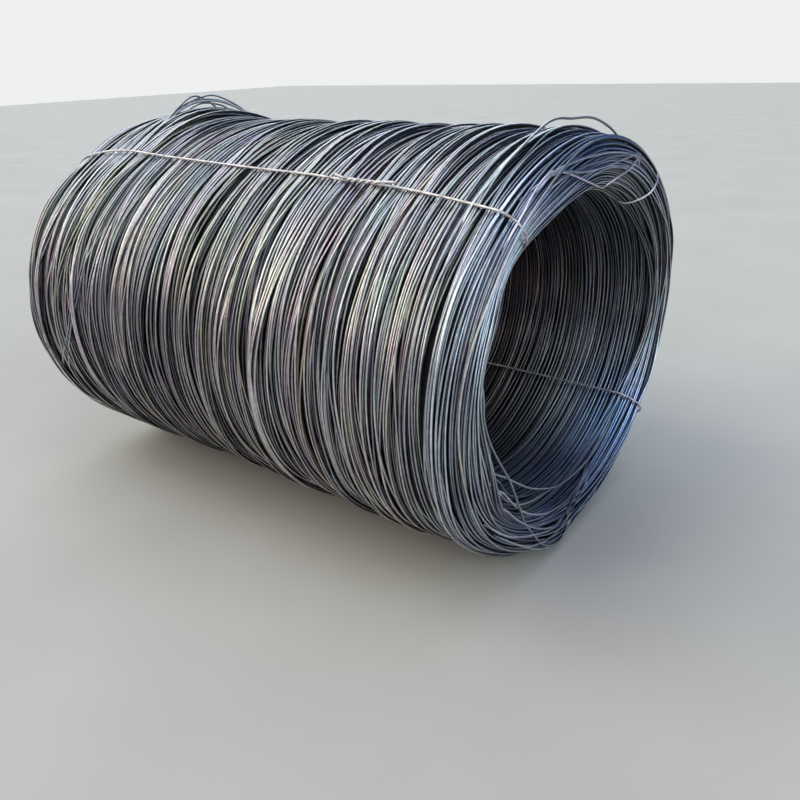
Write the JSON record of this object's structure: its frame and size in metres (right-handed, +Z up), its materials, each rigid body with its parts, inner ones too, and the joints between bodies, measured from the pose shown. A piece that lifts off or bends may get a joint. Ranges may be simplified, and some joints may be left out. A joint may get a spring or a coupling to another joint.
{
  "type": "coil of wire rod",
  "caption": "Coil of hot-rolled steel wire rod lying on its side, sagged to an oval, with an open bore and tie wires that hold its wound wall.",
  "frame": {"origin": "on the floor, under the middle of the coil", "axes": "+X along the coil's axis, towards the end that the picture shows; +Y across it; +Z up, from the floor to the crown"},
  "size_m": [1.7653, 1.3536, 1.2229],
  "materials": {
    "mill_scale": "blue-grey mill scale of hot-rolled rod, satin, with dark gaps between turns",
    "tie_wire": "bare drawn wire, dull silver-grey"
  },
  "bodies": {
    "root": {"coil": "mill_scale", "upper_tie": "tie_wire", "lower_tie": "tie_wire"}
  },
  "joints": []
}
